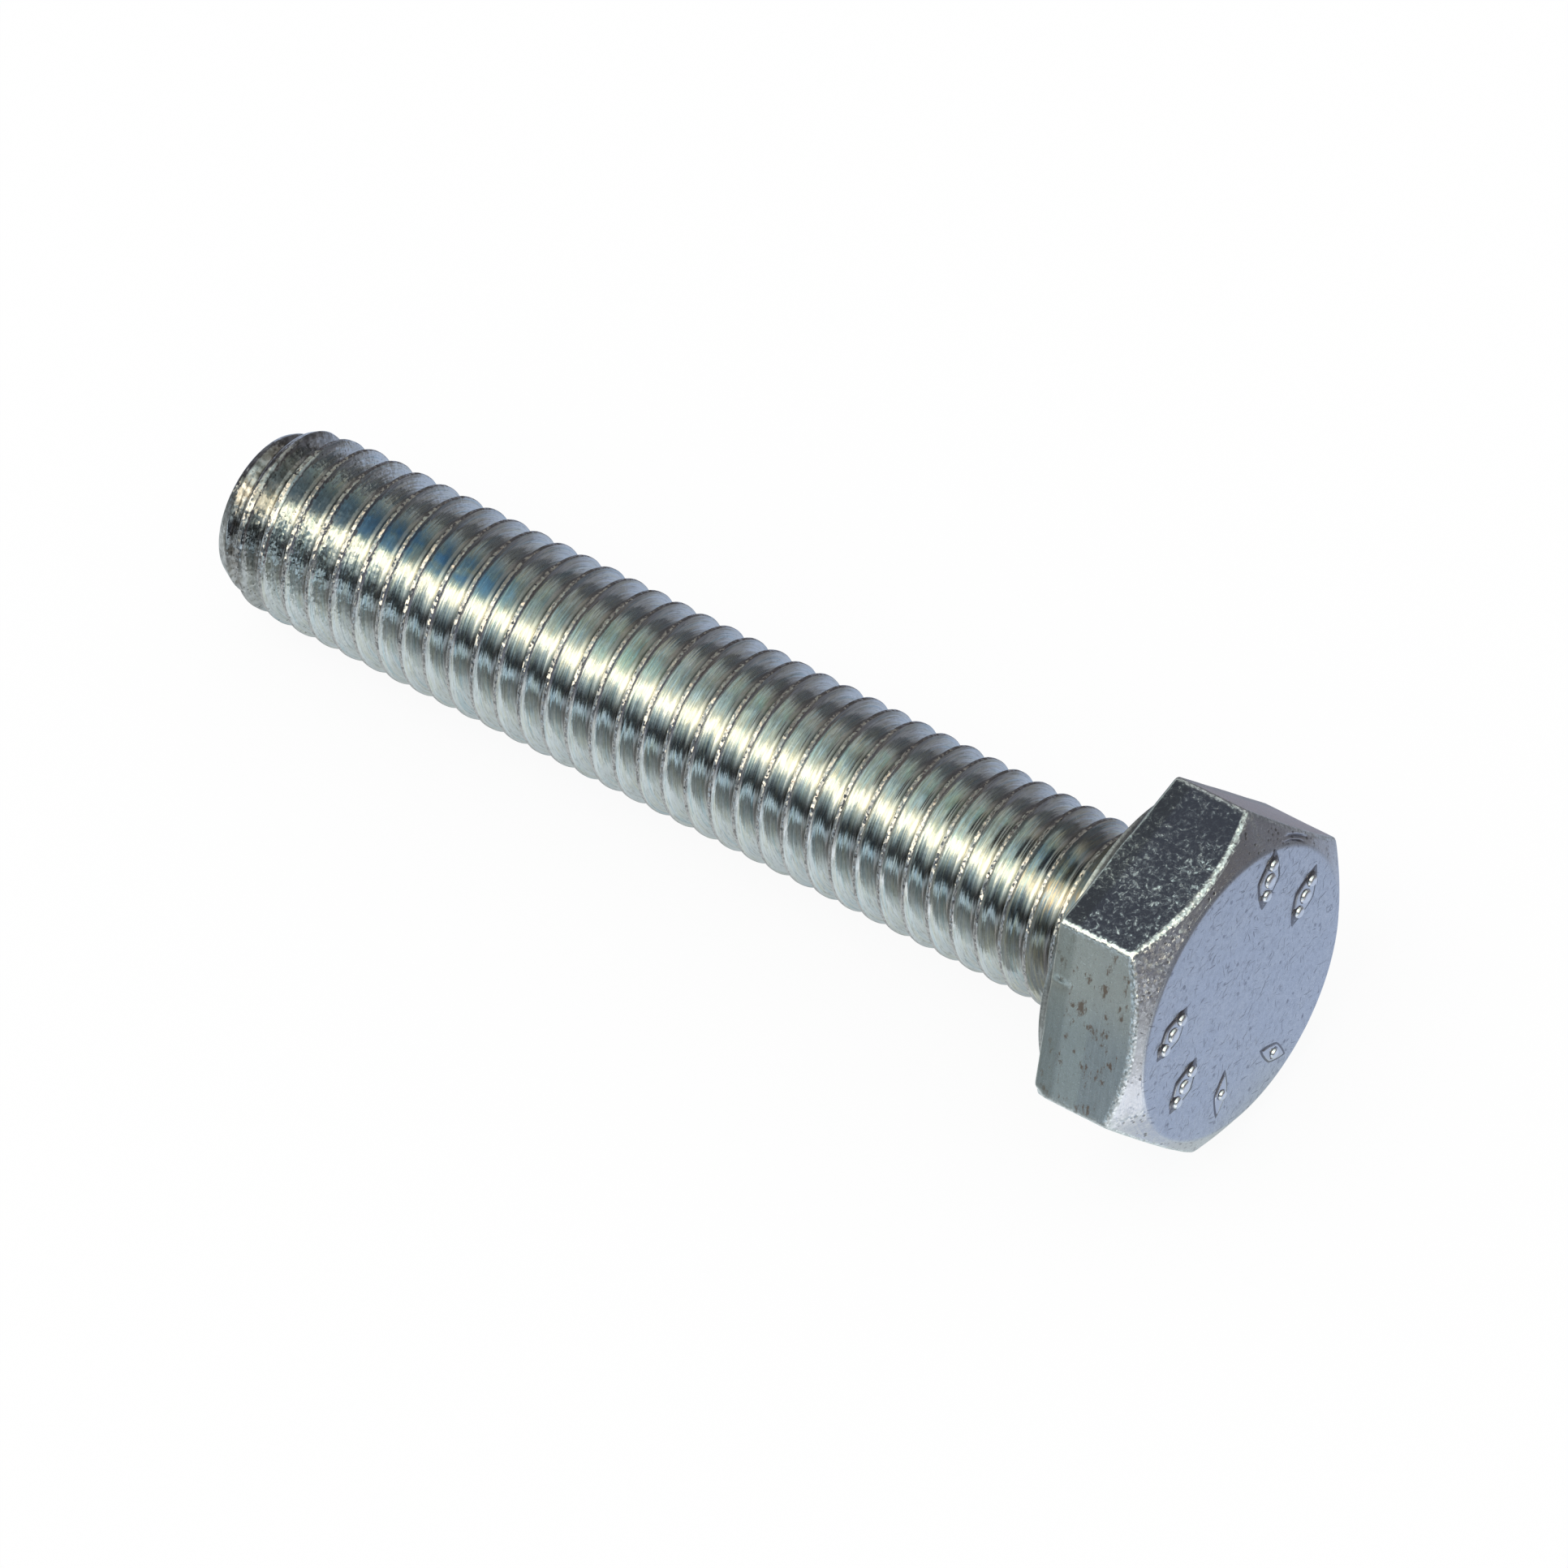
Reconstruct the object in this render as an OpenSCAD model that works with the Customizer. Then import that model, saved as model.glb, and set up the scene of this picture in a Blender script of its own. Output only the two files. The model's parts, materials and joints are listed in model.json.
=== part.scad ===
// Hex head screw with a coarse metric thread over its whole shank, lying at rest on one flat and its tip.
// Units are millimetres and +Z is up. The origin is the centre of the bearing face, on the screw's axis.
// The axis runs from the head towards +X and dips a little, because the head is wider than the thread.

/* [Thread] */
// Thread diameter over the crests, a little under the nominal 10 as on a real plated screw
thread_diameter = 9.85; // [9.6:0.05:10.5]
// Distance from one crest to the next
thread_pitch = 1.5; // [1.4:0.05:1.75]
// Length from the bearing face to the tip
screw_length = 55; // [30:1:60]
// Diameter of the flat end of the tip
tip_diameter = 7.8; // [7:0.1:7.9]
// Angle between the tip's bevel and the axis
tip_bevel_angle = 28; // [20:1:60]
// Length over which the thread fades out towards the head
runout_length = 2.2; // [1:0.1:3.5]

/* [Head] */
// Width of the hexagon across two opposite flats
across_flats = 17; // [16:0.1:18.5]
// Height of the head, washer face included
head_height = 6.1; // [5.5:0.1:8]
// Diameter of the flat circle on top of the head
top_face_diameter = 15.7; // [14:0.1:16]
// Slope of the corner bevels, measured from the top face
corner_bevel_angle = 34; // [20:1:40]
// How far the edge of the round washer face lies inside the flats
washer_face_inset = 0.1; // [0.05:0.05:1]
// Height of the washer face
washer_face_height = 0.4; // [0.2:0.05:0.8]

/* [Neck] */
// Radius of the fillet between the bearing face and the shank
fillet_radius = 0.6; // [0.4:0.05:0.8]
// Diameter of the short plain neck between the fillet and the thread
neck_diameter = 9.03; // [8.8:0.05:9.2]

/* [Hidden] */
zinc = [0.72, 0.73, 0.76];

// An outside metric thread is a 60 degree triangle. An eighth of its height is cut off at the crest
// and a sixth is filled at the root, which leaves 17 parts in 24.
triangle_height = thread_pitch * sqrt(3) / 2;
crest_radius = thread_diameter / 2;
root_radius = crest_radius - 17 / 24 * triangle_height;
tip_radius = min(tip_diameter / 2, root_radius - 0.02);
tip_bevel_length = (crest_radius - tip_radius) / tan(tip_bevel_angle);
neck_radius = neck_diameter / 2;

// Where the crest starts and ends and where the root starts and ends, as parts of one pitch
crest_share = 1 / 8;
flank_share = 17 / 48;
profile_phase = [0, crest_share, crest_share + flank_share, 1 - flank_share];
profile_radius = [crest_radius, crest_radius, root_radius, root_radius];

// Facets around the thread, fewer on a longer screw
turns = ceil(screw_length / thread_pitch);
facets = min(36, floor(10800 / (8 * turns)));
rows = 4 * (turns + 3);

// The core starts inside the head, and the thread grows out of the plain neck.
core_start = -1;
fillet_top = 0.9 * fillet_radius;
fade_start = fillet_top + 0.15;

washer_face_radius = across_flats / 2 - washer_face_inset;

// The fillet's arc meets the bearing face and the neck at a small angle.
fillet_centre_radius = neck_radius + 0.05 + fillet_radius;
fillet_centre_height = 0.98 * fillet_radius;

// The hexagon's cone opens from the top face towards the bearing face.
bevel_growth = head_height / tan(corner_bevel_angle);

// At rest one flat's lower edge and the last full crest touch the ground.
last_crest = thread_pitch * (floor((screw_length - tip_bevel_length) / thread_pitch - crest_share) + crest_share);
rest_tilt = atan((across_flats / 2 - crest_radius) / (last_crest + washer_face_height));

// Height along the axis of one thread point, held at the core's start and at the tip
function raw_height(row, column) =
    thread_pitch * (floor(row / 4) - 1 + profile_phase[row % 4] + column / facets);
function held_height(height) =
    height <= fade_start ? core_start : min(height, screw_length);
function point_height(row, column) = held_height(raw_height(row, column));

// Distance from the axis: the thread's profile, faded towards the neck and cut by the tip's cone
function fade(height) = max(0, min(1, (height - fade_start) / runout_length));
function cone_radius(height) = tip_radius + (screw_length - height) * tan(tip_bevel_angle);
function faded_radius(row, height) =
    neck_radius + (profile_radius[row % 4] - neck_radius) * fade(height);
function point_radius(row, height) =
    height >= screw_length ? tip_radius : min(faded_radius(row, height), cone_radius(height));

function thread_point(row, column) =
    let (height = point_height(row, column), radius = point_radius(row, height))
    [radius * cos(360 * column / facets), radius * sin(360 * column / facets), height];

// Number of a point in the list: after the last column the first one follows, four rows higher up.
function number(row, column) =
    column < facets ? column * rows + row : min(row + 4, rows - 1);
function lower_face(row, column) =
    [number(row, column), number(row + 1, column + 1), number(row, column + 1)];
function upper_face(row, column) =
    [number(row, column), number(row + 1, column), number(row + 1, column + 1)];

thread_points = [for (column = [0 : facets - 1]) for (row = [0 : rows - 1]) thread_point(row, column)];
start_centre = facets * rows;
tip_centre = start_centre + 1;
all_points = concat(thread_points, [[0, 0, core_start], [0, 0, screw_length]]);

// A face is left out where two of its points fall together.
function is_open(first, second) = all_points[first] != all_points[second];
side_faces = [
    for (column = [0 : facets - 1])
    for (row = [0 : rows - 2])
    for (face = [lower_face(row, column), upper_face(row, column)])
    if (is_open(face[0], face[1]) && is_open(face[1], face[2]) && is_open(face[2], face[0])) face
];
start_faces = [
    for (column = [0 : facets - 1])
    [start_centre, number(0, column), number(0, (column + 1) % facets)]
];
tip_faces = [
    for (column = [0 : facets - 1])
    [tip_centre, number(rows - 1, (column + 1) % facets), number(rows - 1, column)]
];

module threaded_core() {
    polyhedron(points = all_points, faces = concat(side_faces, start_faces, tip_faces), convexity = 10);
}

// Hexagon with its six top corners bevelled by a cone
module hexagon() {
    translate([0, 0, -head_height])
    intersection() {
        rotate([0, 0, 30])
            cylinder(h = head_height - washer_face_height, d = across_flats / cos(30), $fn = 6);
        cylinder(
            h = head_height,
            r1 = top_face_diameter / 2,
            r2 = top_face_diameter / 2 + bevel_growth,
            $fn = 96
        );
    }
}

// Washer face and the fillet that rises from it to the neck, turned about the axis
module washer_and_fillet() {
    rotate_extrude($fn = 96)
        union() {
            translate([0, -head_height / 2])
                square([washer_face_radius, head_height / 2]);
            difference() {
                translate([0, -head_height / 3])
                    square([fillet_centre_radius, head_height / 3 + fillet_top]);
                translate([fillet_centre_radius, fillet_centre_height])
                    circle(r = fillet_radius, $fn = 64);
            }
        }
}

module screw() {
    color(zinc)
    rotate([0, 90 + rest_tilt, 0])
    union() {
        hexagon();
        washer_and_fillet();
        threaded_core();
    }
}

screw();
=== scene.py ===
"""Hex head screw of plated steel, lying on a pale floor in soft studio light.

The file is laid out as a Blender add-on and is run as a script. Every piece is made in the screw's own
frame, in metres: the axis is +Z from the head to the tip, and zero is the bearing face.
"""

import json
import math

import bpy
import numpy as np
from mathutils import Matrix, Vector, noise


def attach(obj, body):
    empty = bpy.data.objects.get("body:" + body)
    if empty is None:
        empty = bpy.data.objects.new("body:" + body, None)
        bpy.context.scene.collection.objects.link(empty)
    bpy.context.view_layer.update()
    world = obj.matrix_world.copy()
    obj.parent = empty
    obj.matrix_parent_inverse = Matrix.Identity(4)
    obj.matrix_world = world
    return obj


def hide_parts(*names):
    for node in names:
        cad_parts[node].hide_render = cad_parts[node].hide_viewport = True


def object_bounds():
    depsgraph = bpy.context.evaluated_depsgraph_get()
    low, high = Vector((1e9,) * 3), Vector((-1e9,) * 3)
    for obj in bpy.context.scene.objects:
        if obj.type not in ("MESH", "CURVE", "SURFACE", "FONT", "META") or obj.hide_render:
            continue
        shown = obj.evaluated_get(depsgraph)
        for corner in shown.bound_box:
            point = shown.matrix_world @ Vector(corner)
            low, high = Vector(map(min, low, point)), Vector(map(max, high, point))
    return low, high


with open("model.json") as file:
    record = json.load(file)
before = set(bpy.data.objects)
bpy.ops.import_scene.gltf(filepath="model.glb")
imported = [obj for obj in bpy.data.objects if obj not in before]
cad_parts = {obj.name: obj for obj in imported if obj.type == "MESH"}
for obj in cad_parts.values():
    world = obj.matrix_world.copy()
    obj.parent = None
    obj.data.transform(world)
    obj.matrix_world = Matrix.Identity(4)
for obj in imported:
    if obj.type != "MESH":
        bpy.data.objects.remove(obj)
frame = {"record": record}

bl_info = {
    "name": "Hex head screw",
    "version": (1, 0, 0),
    "blender": (4, 5, 0),
    "location": "View3D > Sidebar > Screw",
    "description": "Builds a plated hex head screw with a rolled coarse thread, and its studio",
    "category": "Add Mesh",
}

CAD_BOX = [list(corner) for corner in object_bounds()]
MM = 0.001
SIXTH_TURN = math.pi / 3

# Points closer together than this are one point
WELD = 2e-7


def screw_axis():
    """Direction from the head to the tip, as the record's mount gives it."""
    mounts = {mount["name"]: mount for mount in frame["record"]["mounts"]}
    return Vector(mounts["thread"]["axis"]).normalized()


AXIS = screw_axis()
ACROSS_FLATS = (CAD_BOX[1][1] - CAD_BOX[0][1]) * math.cos(math.radians(30))


# Sizes, finish and studio

def length_property(name, description, default_mm, least_mm):
    """One length, given in millimetres."""
    return bpy.props.FloatProperty(
        name=name, description=description, default=default_mm * MM, min=least_mm * MM,
        subtype="DISTANCE", unit="LENGTH")


def angle_property(name, description, degrees):
    """One angle, given in degrees."""
    return bpy.props.FloatProperty(
        name=name, description=description, default=math.radians(degrees), subtype="ANGLE",
        unit="ROTATION")


def colour_property(name, description, default):
    """One colour that the panel shows."""
    return bpy.props.FloatVectorProperty(
        name=name, description=description, default=default, size=3, min=0, max=1, subtype="COLOR")


def share_property(name, description, default):
    """One value between zero and one."""
    return bpy.props.FloatProperty(
        name=name, description=description, default=default, min=0, max=1, subtype="FACTOR")


class ScrewSizes(bpy.types.PropertyGroup):
    """Sizes of the screw"""

    length: length_property("Length", "From the bearing face to the tip", 55, 20)
    pitch: length_property("Pitch", "From one crest to the next", 1.5, 0.5)
    thread_diameter: length_property("Thread diameter", "Over the crests", 9.85, 4)
    tip_diameter: length_property("Tip diameter", "Of the flat end", 7.8, 3)
    neck_diameter: length_property("Neck diameter", "Of the plain neck under the head", 9.03, 4)
    across_flats: length_property("Across flats", "Width of the hexagon", ACROSS_FLATS / MM, 8)
    head_height: length_property("Head height", "Washer face included", 6.1, 3)
    top_diameter: length_property("Top diameter", "Of the flat circle on top of the head", 15.7, 6)
    bevel_angle: angle_property("Bevel angle", "Of the corner bevels, from the top face", 34)
    washer_diameter: length_property("Washer face diameter", "Of the face under the head", 16.8, 6)
    washer_height: length_property("Washer face height", "Of the face under the head", 0.4, 0.1)
    mark_height: length_property("Mark height", "One unit of the raised marks' levels", 0.16, 0.02)


class ScrewFinish(bpy.types.PropertyGroup):
    """Colours and roughness of the plating"""

    top: colour_property("Top", "Plating on top of the head", (0.72, 0.73, 0.75))
    bevel: colour_property("Bevel", "Plating on the corner bevels", (0.66, 0.65, 0.66))
    flats: colour_property("Flats", "Brushed plating on the flats", (0.56, 0.59, 0.60))
    frost: colour_property("Frost", "Crystalline bloom on the plating", (0.86, 0.92, 0.94))
    edges: colour_property("Edges", "Rubbed edges of the head", (0.90, 0.91, 0.90))
    thread: colour_property("Thread", "Plating on the flanks of the thread", (0.73, 0.75, 0.75))
    crest: colour_property("Crest", "Rubbed crest of the thread", (0.52, 0.49, 0.47))
    blue: colour_property("Blue tint", "Blue film of the passivated plating", (0.34, 0.54, 0.76))
    rust: colour_property("Rust", "Brown specks", (0.13, 0.07, 0.045))
    roughness: share_property("Roughness", "Of the clean plating", 0.22)


class ScrewStudio(bpy.types.PropertyGroup):
    """Floor, light and camera"""

    floor_size: length_property("Floor size", "Side of the floor", 6000, 100)
    floor: colour_property("Floor", "Colour of the floor", (0.92, 0.92, 0.92))
    shadow: share_property("Shadow", "How strongly the floor takes the shadow", 0.08)
    azimuth: angle_property("Camera azimuth", "Zero looks along +Y", -132.113)
    elevation: angle_property("Camera elevation", "Above the floor", 55.851)
    roll: angle_property("Camera roll", "About the line of sight", 14.063)
    lens: bpy.props.FloatProperty(
        name="Lens", description="Focal length for a 36 mm sensor", default=480.59, unit="CAMERA")


# Mesh tools

def screw_matrix():
    """Screw frame to the shared frame: local X is down, Y is the frame's Y, Z is the axis."""
    side = Vector((0, 1, 0))
    down = side.cross(AXIS).normalized()
    return Matrix((down, side, AXIS)).transposed().to_4x4()


def new_mesh(name, vertices, faces, masks):
    """A checked mesh with its point masks, shaded smooth."""
    mesh = bpy.data.meshes.new(name)
    mesh.from_pydata(vertices, [], faces)
    mesh.validate()
    mesh.update()
    for mask, values in masks.items():
        layer = mesh.attributes.new(mask, "FLOAT", "POINT")
        layer.data.foreach_set("value", np.array(values, dtype=np.float32))
    mesh.polygons.foreach_set("use_smooth", [True] * len(mesh.polygons))
    return mesh


def grid_faces(here, there):
    """Faces between each column of point numbers and the next, without the ones that have closed up."""
    quads = np.stack([here[:, :-1], there[:, :-1], there[:, 1:], here[:, 1:]], axis=-1).reshape(-1, 4)
    faces = []
    for quad in quads.tolist():
        ring = [v for i, v in enumerate(quad) if v != quad[i - 1]]
        if len(ring) > 2 and len(set(ring)) == len(ring):
            faces.append(ring)
    return faces


def fan_faces(centre, ring, turned):
    """Triangles from a centre to a ring, given by point numbers."""
    faces = []
    for v, following in zip(ring, ring[1:] + ring[:1]):
        if v != following:
            faces.append([centre, following, v] if turned else [centre, v, following])
    return faces


def grid_mesh(name, points, masks, following, closed_row, centre):
    """Mesh of a column by row grid of points that closes on itself, with doubles taken out.

    After the last column the first one follows, and following tells which of its rows comes after
    each row. A fan to the centre point closes the grid at its first row or its last."""
    flat = points.reshape(-1, 3)
    keys = np.round(flat / WELD).astype(np.int64)
    _, first, inverse = np.unique(keys, axis=0, return_index=True, return_inverse=True)
    here = inverse.reshape(points.shape[:2])
    faces = grid_faces(here, np.vstack([here[1:], here[:1, following]]))
    faces += fan_faces(len(first), here[:, closed_row].tolist(), closed_row == 0)
    values = {k: np.append(v.reshape(-1)[first], v[0, closed_row]) for k, v in masks.items()}
    return new_mesh(name, flat[first].tolist() + [centre], faces, values)


def add_object(name, data):
    """Puts a mesh, a lamp or a camera into the scene."""
    item = bpy.data.objects.new(name, data)
    bpy.context.scene.collection.objects.link(item)
    return item


def add_piece(name, mesh, material):
    """Adds a mesh, given in the screw's own frame, as a piece of the screw."""
    mesh.transform(screw_matrix())
    mesh.materials.append(material)
    piece = add_object(name, mesh)
    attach(piece, "root")
    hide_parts("screw")


def smooth_step(value, low, high):
    """Zero below low, one above high, smooth between."""
    t = np.clip((value - low) / (high - low), 0, 1)
    return t * t * (3 - 2 * t)


# Thread

# Places across one pitch, from a crest's centre, at which the profile has a point
PROFILE = (0, 0.045, 0.058, 0.067, 0.080, 0.160, 0.270, 0.375, 0.420,
           0.500, 0.580, 0.625, 0.730, 0.840, 0.920, 0.933, 0.942, 0.955)

# Points round the thread
COLUMNS = 144

# Slope of the tip's bevel from the axis, and the rounding between the bevel and the end face
TIP_BEVEL = math.radians(28)
TIP_ROUND = 0.2 * MM

# Height at which the helix starts, and the heights between which the thread grows out of the neck
HELIX_START = 0.45 * MM
FADE = (0.60 * MM, 2.95 * MM)

# How far the crests sink at the tip, and how far from the end that starts and is done
TIP_SINK = 0.13 * MM
SINK_ZONE = (4.2 * MM, 2.3 * MM)

# Half the width of a crest as a share of the pitch
HALF_CREST = 1 / 16


def profile_depth(share, pitch):
    """Depth under the crest at a place across one pitch: flat crest with soft edges, 60 degree
    flanks and a round root."""
    from_crest = np.minimum(share, 1 - share)
    flank = np.maximum(from_crest - HALF_CREST, 0) * pitch * math.sqrt(3)
    soft = 0.010 * pitch * np.exp(-((from_crest - HALF_CREST) / 0.012) ** 2)
    radius = pitch * math.sqrt(3) / 12
    bottom = 17 / 24 * pitch * math.sqrt(3) / 2
    to_root = (0.5 - from_crest) * pitch
    arc = bottom - radius + np.sqrt(np.maximum(radius ** 2 - to_root ** 2, 0))
    return np.where(from_crest < 0.375, flank + soft, arc)


def helix(sizes):
    """Points and masks of the helical part of the shank."""
    pitch, length = sizes.pitch, sizes.length
    crest, neck, tip = sizes.thread_diameter / 2, sizes.neck_diameter / 2, sizes.tip_diameter / 2
    low, high = HELIX_START, length - TIP_ROUND * (1 - math.sin(TIP_BEVEL))
    turns = math.ceil(length / pitch) + 2
    share = np.tile(np.array(PROFILE), turns)
    turn = np.repeat(np.arange(turns) - 1, len(PROFILE))
    column = np.arange(COLUMNS)[:, None]
    angle = 2 * math.pi * column / COLUMNS + np.zeros((1, len(share)))
    raw = pitch * (turn + share + HALF_CREST)[None, :] + pitch * column / COLUMNS
    height = np.clip(raw, low, high)
    fade = smooth_step(height, *FADE)
    depth = profile_depth(share, pitch)[None, :] + np.zeros_like(height)
    ripple = 0.006 * MM * np.sin(7 * angle + raw / pitch)
    ripple = ripple + 0.004 * MM * np.sin(17 * angle + 2.3 * raw / pitch)
    full = crest - depth - ripple * (depth < 0.05 * MM)
    cone = tip + (length - height) * math.tan(TIP_BEVEL)
    unfilled = crest - TIP_SINK * smooth_step(height, length - SINK_ZONE[0], length - SINK_ZONE[1])
    radius = np.minimum(np.minimum(neck + (full - neck) * fade, unfilled), cone)
    radius = np.where(raw <= low, neck, radius)
    radius = np.where(raw >= high, tip + (length - high) * math.tan(TIP_BEVEL), radius)
    points = np.stack([radius * np.cos(angle), radius * np.sin(angle), height], axis=-1)

    from_crest = np.minimum(share, 1 - share)[None, :] + np.zeros_like(height)
    on_thread = fade * (cone > radius + 0.02 * MM)
    return points, {
        "crest": on_thread * (1 - smooth_step(from_crest, 0.055, 0.082)),
        "root": on_thread * smooth_step(from_crest, 0.34, 0.44),
        "plain": 1 - on_thread,
    }


def tip_rings(sizes):
    """Points of the rounded rim and the flat end, ring by ring."""
    centre = sizes.tip_diameter / 2 - TIP_ROUND * (1 - math.sin(TIP_BEVEL)) / math.cos(TIP_BEVEL)
    rings = [(centre + TIP_ROUND * math.cos(a), sizes.length - TIP_ROUND + TIP_ROUND * math.sin(a))
             for a in np.linspace(TIP_BEVEL, math.pi / 2, 5)[1:]]
    rings += [(r * MM, sizes.length) for r in (3.4, 2.6, 1.6, 0.7)]
    around = 2 * math.pi * np.arange(COLUMNS) / COLUMNS
    return np.array([[(r * math.cos(a), r * math.sin(a), z) for r, z in rings] for a in around])


def thread_mesh(sizes):
    """The shank: a helical grid, one pitch further on after each turn, that ends in rings."""
    points, masks = helix(sizes)
    rings = tip_rings(sizes)
    rows, ring_rows = points.shape[1], rings.shape[1]
    following = np.minimum(np.arange(rows) + len(PROFILE), rows - 1)
    following = np.concatenate([following, rows + np.arange(ring_rows)])
    for name, values in masks.items():
        fill = np.full((COLUMNS, ring_rows), 1.0 if name == "plain" else 0.0)
        masks[name] = np.concatenate([values, fill], axis=1)
    points = np.concatenate([points, rings], axis=1)
    return grid_mesh("threaded_shank", points, masks, following, -1, (0, 0, sizes.length))


# Head

# Points round the head
HEAD_COLUMNS = 720

# Radii at the hexagon's corners, the top's rim, under the bevels, at the flats' foot and the washer face
CORNER_ROUND = 0.36 * MM
RIM_ROUND = 0.45 * MM
EDGE_ROUND = 0.30 * MM
FOOT_ROUND = 0.16 * MM
WASHER_ROUND = 0.06 * MM

# Radius and rise of the fillet at the neck
FILLET = 0.6 * MM
FILLET_RISE = 0.588 * MM

# Flats with thick bloom and the rosy one, counted in sixths of a turn
FROSTED_FLATS = (1, 3, 5)
ROSY_FLAT = 4

# Direction in degrees and level in millimetres of each groove pressed into the bevel
GROOVES = ((230.5, -6.00), (232.5, -5.83))


def hexagon_radius(angle, apothem, corner):
    """Distance from the axis to a hexagon with rounded corners, whose flats face 0, 60, 120 degrees
    and so on."""
    from_corner = np.abs((angle % SIXTH_TURN) - SIXTH_TURN / 2)
    from_flat = np.abs(((angle + SIXTH_TURN / 2) % SIXTH_TURN) - SIXTH_TURN / 2)
    centre = (apothem - corner) / math.cos(SIXTH_TURN / 2)
    inside = np.maximum(corner ** 2 - (centre * np.sin(from_corner)) ** 2, 0)
    rounded = centre * np.cos(from_corner) + np.sqrt(inside)
    tangent = math.atan2(corner / 2, centre + corner * math.cos(SIXTH_TURN / 2))
    return np.where(from_corner < tangent, rounded, apothem / np.cos(from_flat))


def head_columns():
    """Angles of the head's columns, closer together round the corners."""
    even = np.linspace(0, SIXTH_TURN, HEAD_COLUMNS // 6, endpoint=False)
    eased = even + 0.35 * SIXTH_TURN / (2 * math.pi) * np.sin(2 * math.pi * even / SIXTH_TURN)
    return np.concatenate([eased + k * SIXTH_TURN for k in range(6)])


def top_rows(sizes):
    """Flat top and its soft rim."""
    slope, height = sizes.bevel_angle, sizes.head_height
    inner = sizes.top_diameter / 2 - RIM_ROUND * math.tan(slope / 2)
    flat = [(share * inner, -height, "top") for share in (0.12, 0.3, 0.5, 0.7, 0.85, 0.94)]
    rim = [(inner + RIM_ROUND * math.sin(turn), -height + RIM_ROUND * (1 - math.cos(turn)), "top")
           for turn in np.linspace(0, slope, 5)]
    return flat + rim


def bevel_rows(sizes, wall):
    """Corner bevels and the round edge under them, and the level at which the flats start."""
    slope, height, top = sizes.bevel_angle, sizes.head_height, sizes.top_diameter / 2
    cut = EDGE_ROUND * math.tan((math.pi / 2 - slope) / 2)
    start = top + RIM_ROUND * math.tan(slope / 2) * math.cos(slope)
    below = -height + (wall - top) * math.tan(slope) + cut
    rows = []
    for share in np.linspace(0, 1, 15)[1:-1]:
        radius = start + (wall - cut * math.cos(slope) - start) * share
        rows.append((radius, -height + (radius - top) * math.tan(slope), "bevel"))
    for turn in np.linspace(math.pi / 2 - slope, 0, 7):
        radius = wall - EDGE_ROUND + EDGE_ROUND * math.cos(turn)
        rows.append((radius, below - EDGE_ROUND * math.sin(turn), "edge"))
    return rows, below


def flat_rows(sizes, wall, start):
    """Flats with their rounded foot, and the radius at which the underside starts."""
    foot = -sizes.washer_height
    rounding = np.minimum(FOOT_ROUND, wall - sizes.washer_diameter / 2 - 0.02 * MM)
    rows = [(wall, start + (foot - rounding - start) * share, "flat")
            for share in np.linspace(0, 1, 34)[1:-1]]
    inner = wall - rounding
    rows += [(inner + rounding * math.cos(turn), foot - rounding + rounding * math.sin(turn), "flat")
             for turn in np.linspace(0, math.pi / 2, 5)]
    return rows, inner


def under_rows(sizes, start):
    """Underside, washer face, fillet and neck."""
    washer, neck = sizes.washer_diameter / 2, sizes.neck_diameter / 2
    fillet_centre = neck + 0.05 * MM + FILLET
    rows = [(start + (washer - start) * share, -sizes.washer_height) for share in (0.5, 1)]
    rows += [(washer - WASHER_ROUND * (1 - math.cos(turn)), -WASHER_ROUND * (1 - math.sin(turn)))
             for turn in np.linspace(0, math.pi / 2, 4)]
    rows += [(washer + (fillet_centre - washer) * share, 0) for share in (0.3, 0.6, 0.85)]
    rows += [(fillet_centre - FILLET * math.sin(a), FILLET_RISE * (1 - math.cos(a)))
             for a in np.radians(np.linspace(0, 80, 9))]
    rows.append((neck - 0.01 * MM, 0.66 * MM))
    return [(radius, z, "under") for radius, z in rows]


def head_mesh(sizes):
    """The head, row by row from the middle of the top to the neck."""
    angle = head_columns()
    wall = hexagon_radius(angle, sizes.across_flats / 2, CORNER_ROUND)
    bevels, flat_start = bevel_rows(sizes, wall)
    flats, under_start = flat_rows(sizes, wall, flat_start)
    rows = top_rows(sizes) + bevels + flats + under_rows(sizes, under_start)
    radius = np.stack([r + np.zeros_like(angle) for r, _, _ in rows], axis=1)
    z = np.stack([level + np.zeros_like(angle) for _, level, _ in rows], axis=1)
    turned = angle[:, None] + np.zeros_like(z)
    masks = head_masks(np.array([kind for _, _, kind in rows]), turned, z, -sizes.washer_height)
    radius, z = dented(radius, z, turned, masks)
    points = np.stack([radius * np.cos(turned), radius * np.sin(turned), z], axis=-1)
    return grid_mesh("screw_head", points, masks, np.arange(len(rows)), 0, (0, 0, -sizes.head_height))


def head_masks(kinds, turned, z, foot):
    """Where the top, bevels, edges, flats and underside lie, and what is special about each flat."""
    names = ("top", "bevel", "edge", "flat", "under")
    masks = {name: (kinds == name)[None, :] * np.ones_like(z) for name in names}
    sector = np.round(np.degrees(turned) % 360 / 60) % 6
    masks["frosted"] = np.isin(sector, FROSTED_FLATS) * 1.0
    masks["rosy"] = (sector == ROSY_FLAT) * 1.0
    from_corner = np.abs((turned % SIXTH_TURN) - SIXTH_TURN / 2)
    upright = np.exp(-(from_corner / 0.022) ** 2) * (masks["flat"] + 0.6 * masks["bevel"])
    masks["edge"] = np.clip(masks["edge"] + 0.8 * upright, 0, 1)
    masks["foot"] = smooth_step(z, foot - 1.25 * MM, foot - 0.95 * MM) * masks["flat"]
    return masks


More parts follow.
